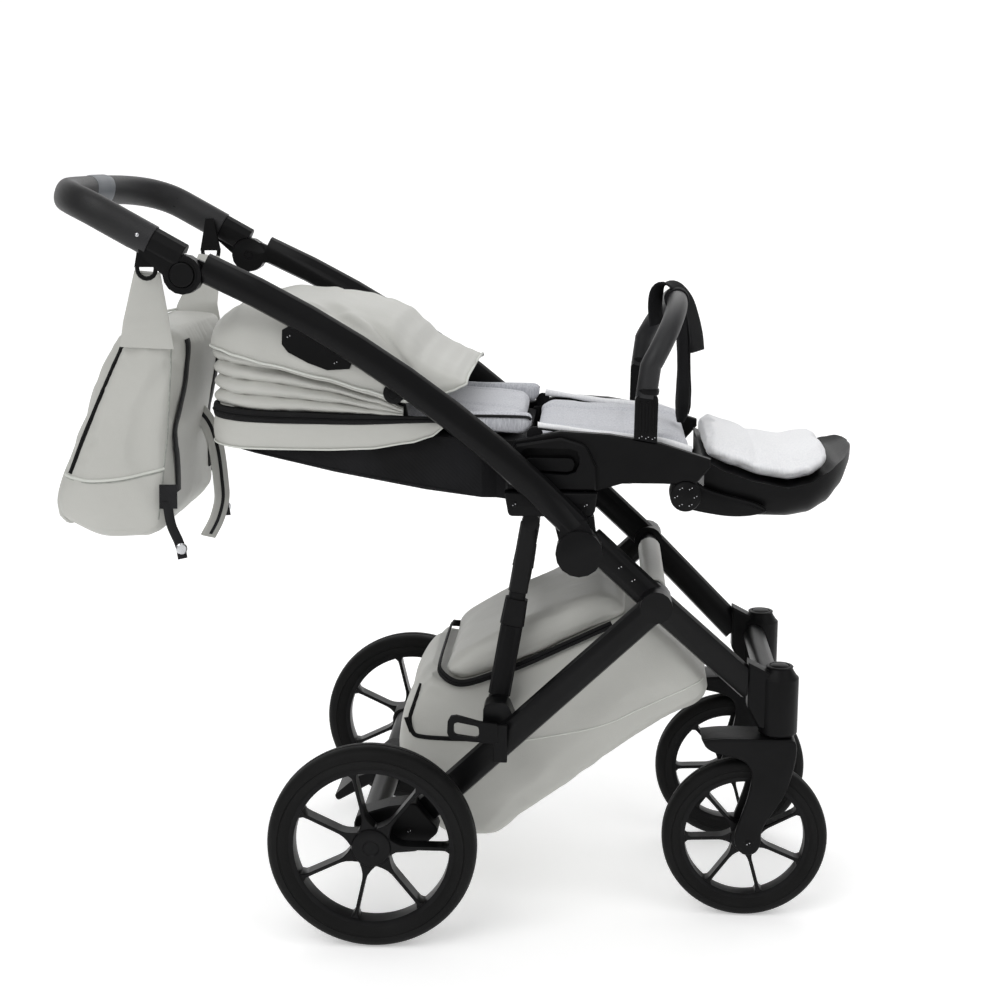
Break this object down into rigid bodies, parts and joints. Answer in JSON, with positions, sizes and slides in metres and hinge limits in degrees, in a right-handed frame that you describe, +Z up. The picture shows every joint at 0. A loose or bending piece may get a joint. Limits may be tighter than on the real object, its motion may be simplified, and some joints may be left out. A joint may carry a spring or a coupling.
{
  "type": "two-in-one pram",
  "caption": "Pram with a folding frame, swivelling front wheels, reclined seat, folded hood, bumper bar, zipped basket and a changing bag on the handlebar.",
  "frame": {"origin": "on the floor under the middle of the outline", "axes": "+X forward, the way the child's feet point; +Y to the pram's left; +Z up"},
  "size_m": [1.1526, 0.6, 1.0793],
  "materials": {
    "frame_black": "matte black powder coat",
    "plastic_black": "fine matte texture",
    "wheel_black": "satin black",
    "tyre_rubber": "matte black foam rubber",
    "grip_black": "pebbled black leatherette",
    "sleeve_grey": "grey leatherette",
    "leatherette_light": "coated light grey leatherette",
    "liner_melange": "light grey melange weave",
    "liner_white": "very light grey melange weave",
    "fabric_black": "black woven fabric"
  },
  "bodies": {
    "front_frame": {"front_leg_right": "frame_black", "front_leg_left": "frame_black", "swivel_housing_right": "plastic_black", "swivel_housing_left": "plastic_black", "front_cross_tube": "frame_black", "centre_cross_tube": "frame_black", "centre_tube_sleeve": "leatherette_light", "basket": "leatherette_light", "basket_lid": "leatherette_light", "seat_receiver_right": "plastic_black", "seat_receiver_left": "plastic_black"},
    "upper_frame": {"upper_tube_right": "frame_black", "upper_tube_left": "frame_black"},
    "handle": {"handlebar": "grip_black", "handle_sleeve": "sleeve_grey", "bag_hook_right": "plastic_black", "bag_hook_left": "plastic_black"},
    "rear_frame": {"rear_leg_right": "frame_black", "rear_leg_left": "frame_black", "rear_axle_tube": "frame_black", "rear_axle_block_right": "plastic_black", "rear_axle_block_left": "plastic_black", "cup_bracket": "plastic_black"},
    "brake": {"brake_pedal": "plastic_black"},
    "bag": {"bag": "leatherette_light", "bag_shoulder_strap": "leatherette_light"},
    "seat": {"seat_side_right": "plastic_black", "seat_side_left": "plastic_black", "seat_base": "plastic_black", "seat_cushion": "liner_melange"},
    "backrest": {"backrest_shell": "fabric_black", "backrest_cushion": "liner_melange", "hood_rear_band": "leatherette_light"},
    "hood": {"hood_bow": "plastic_black"},
    "hood_middle": {"hood_pleats": "leatherette_light"},
    "hood_canopy": {"hood_top": "leatherette_light"},
    "footrest": {"footrest": "plastic_black", "footrest_pad": "liner_white"},
    "bumper": {"bumper_bar": "grip_black", "crotch_strap": "fabric_black"},
    "handle_button_right": {"handle_button_right": "plastic_black"},
    "rear_wheel_right": {"rear_wheel_right_rim": "wheel_black", "rear_wheel_right_tyre": "tyre_rubber"},
    "front_wheel_right": {"front_wheel_right_rim": "wheel_black", "front_wheel_right_tyre": "tyre_rubber"},
    "strut_lower_right": {"strut_sleeve_right": "plastic_black"},
    "strut_upper_right": {"strut_rod_right": "frame_black"},
    "strut_collar_right": {"strut_collar_right": "plastic_black"},
    "release_paddle_right": {"release_paddle_right": "plastic_black"},
    "caster_right": {"fork_right": "plastic_black"},
    "handle_button_left": {"handle_button_left": "plastic_black"},
    "rear_wheel_left": {"rear_wheel_left_rim": "wheel_black", "rear_wheel_left_tyre": "tyre_rubber"},
    "front_wheel_left": {"front_wheel_left_rim": "wheel_black", "front_wheel_left_tyre": "tyre_rubber"},
    "strut_lower_left": {"strut_sleeve_left": "plastic_black"},
    "strut_upper_left": {"strut_rod_left": "frame_black"},
    "strut_collar_left": {"strut_collar_left": "plastic_black"},
    "release_paddle_left": {"release_paddle_left": "plastic_black"},
    "caster_left": {"fork_left": "plastic_black"}
  },
  "joints": [
    {"name": "frame_fold", "type": "hinge", "parent": "front_frame", "child": "upper_frame", "pos_m": [0.19135, 0, 0.5688], "axis": [0, 1, 0], "range_deg": [0, 135]},
    {"name": "rear_fold", "type": "hinge", "parent": "front_frame", "child": "rear_frame", "pos_m": [0.29975, 0, 0.4924], "axis": [0, 1, 0], "range_deg": [-48, 0]},
    {"name": "handle_tilt", "type": "hinge", "parent": "upper_frame", "child": "handle", "pos_m": [-0.35275, 0, 0.9514], "axis": [0, 1, 0], "range_deg": [-25, 30]},
    {"name": "bag_heave", "type": "slide", "parent": "front_frame", "child": "bag", "axis": [0, 0, 1], "range_m": [-0.026, 0.031]},
    {"name": "brake_pedal_press", "type": "hinge", "parent": "rear_frame", "child": "brake", "pos_m": [-0.10425, 0, 0.166], "axis": [0, 1, 0], "range_deg": [-20, 0]},
    {"name": "seat_lift", "type": "slide", "parent": "front_frame", "child": "seat", "axis": [0, 0, 1], "range_m": [0, 0.15]},
    {"name": "recline", "type": "hinge", "parent": "seat", "child": "backrest", "pos_m": [0.12675, 0, 0.725], "axis": [0, 1, 0], "range_deg": [0, 50]},
    {"name": "hood_open", "type": "hinge", "parent": "backrest", "child": "hood", "pos_m": [-0.06875, 0, 0.7864], "axis": [0, 1, 0], "range_deg": [0, 60]},
    {"name": "hood_fabric_swing", "type": "hinge", "parent": "backrest", "child": "hood_middle", "pos_m": [-0.06875, 0, 0.7864], "axis": [0, 1, 0], "range_deg": [0, 30.5]},
    {"name": "hood_canopy_swing", "type": "hinge", "parent": "hood", "child": "hood_canopy", "pos_m": [-0.28325, 0, 0.8719], "axis": [0, 1, 0], "range_deg": [-84.5, 0]},
    {"name": "footrest_tilt", "type": "hinge", "parent": "seat", "child": "footrest", "pos_m": [0.33945, 0, 0.6424], "axis": [0, 1, 0], "range_deg": [0, 60]},
    {"name": "bumper_lift", "type": "slide", "parent": "seat", "child": "bumper", "axis": [0, 0, 1], "range_m": [0, 0.04]},
    {"name": "handle_button_press_right", "type": "slide", "parent": "handle", "child": "handle_button_right", "axis": [0, 1, 0], "range_m": [0, 0.004], "stiffness_N_per_m": 500, "springref_m": -0.001},
    {"name": "rear_wheel_spin_right", "type": "hinge", "parent": "rear_frame", "child": "rear_wheel_right", "pos_m": [-0.09825, -0.278, 0.15], "axis": [0, 1, 0], "continuous": true},
    {"name": "strut_foot_turn_right", "type": "hinge", "parent": "rear_frame", "child": "strut_lower_right", "pos_m": [0.07485, -0.172, 0.3318], "axis": [0, 1, 0], "range_deg": [0, 17.5]},
    {"name": "strut_slide_right", "type": "slide", "parent": "strut_lower_right", "child": "strut_upper_right", "axis": [0.1705, 0, 0.9854], "range_m": [0, 0.1345]},
    {"name": "strut_release_right", "type": "slide", "parent": "strut_lower_right", "child": "strut_collar_right", "axis": [0.1705, 0, 0.9854], "range_m": [0, 0.008], "stiffness_N_per_m": 200, "springref_m": -0.005},
    {"name": "seat_release_right", "type": "slide", "parent": "seat", "child": "release_paddle_right", "axis": [0, 0, 1], "range_m": [0, 0.005], "stiffness_N_per_m": 200, "springref_m": -0.003},
    {"name": "caster_swivel_right", "type": "hinge", "parent": "front_frame", "child": "caster_right", "pos_m": [0.48255, -0.149, 0.2838], "axis": [0, 0, 1], "continuous": true},
    {"name": "front_wheel_spin_right", "type": "hinge", "parent": "caster_right", "child": "front_wheel_right", "pos_m": [0.43875, -0.147, 0.122], "axis": [0, 1, 0], "continuous": true},
    {"name": "handle_button_press_left", "type": "slide", "parent": "handle", "child": "handle_button_left", "axis": [0, -1, 0], "range_m": [0, 0.004], "stiffness_N_per_m": 500, "springref_m": -0.001},
    {"name": "rear_wheel_spin_left", "type": "hinge", "parent": "rear_frame", "child": "rear_wheel_left", "pos_m": [-0.09825, 0.278, 0.15], "axis": [0, 1, 0], "continuous": true},
    {"name": "strut_foot_turn_left", "type": "hinge", "parent": "rear_frame", "child": "strut_lower_left", "pos_m": [0.07485, 0.172, 0.3318], "axis": [0, 1, 0], "range_deg": [0, 17.5]},
    {"name": "strut_slide_left", "type": "slide", "parent": "strut_lower_left", "child": "strut_upper_left", "axis": [0.1705, 0, 0.9854], "range_m": [0, 0.1345]},
    {"name": "strut_release_left", "type": "slide", "parent": "strut_lower_left", "child": "strut_collar_left", "axis": [0.1705, 0, 0.9854], "range_m": [0, 0.008], "stiffness_N_per_m": 200, "springref_m": -0.005},
    {"name": "seat_release_left", "type": "slide", "parent": "seat", "child": "release_paddle_left", "axis": [0, 0, 1], "range_m": [0, 0.005], "stiffness_N_per_m": 200, "springref_m": -0.003},
    {"name": "caster_swivel_left", "type": "hinge", "parent": "front_frame", "child": "caster_left", "pos_m": [0.48255, 0.149, 0.2838], "axis": [0, 0, 1], "continuous": true},
    {"name": "front_wheel_spin_left", "type": "hinge", "parent": "caster_left", "child": "front_wheel_left", "pos_m": [0.43875, 0.147, 0.122], "axis": [0, 1, 0], "continuous": true}
  ],
  "couplings": [
    {"joint": "rear_fold", "follows": "frame_fold", "ratio": -0.35},
    {"joint": "bag_heave", "follows": "handle_tilt", "m_per_rad": 0.056},
    {"joint": "hood_fabric_swing", "follows": "hood_open", "ratio": 0.5},
    {"joint": "hood_canopy_swing", "follows": "hood_open", "ratio": -1.4},
    {"joint": "strut_foot_turn_right", "follows": "frame_fold", "ratio": 0.1258},
    {"joint": "strut_slide_right", "follows": "frame_fold", "m_per_rad": 0.0566},
    {"joint": "strut_foot_turn_left", "follows": "frame_fold", "ratio": 0.1258},
    {"joint": "strut_slide_left", "follows": "frame_fold", "m_per_rad": 0.0566}
  ]
}
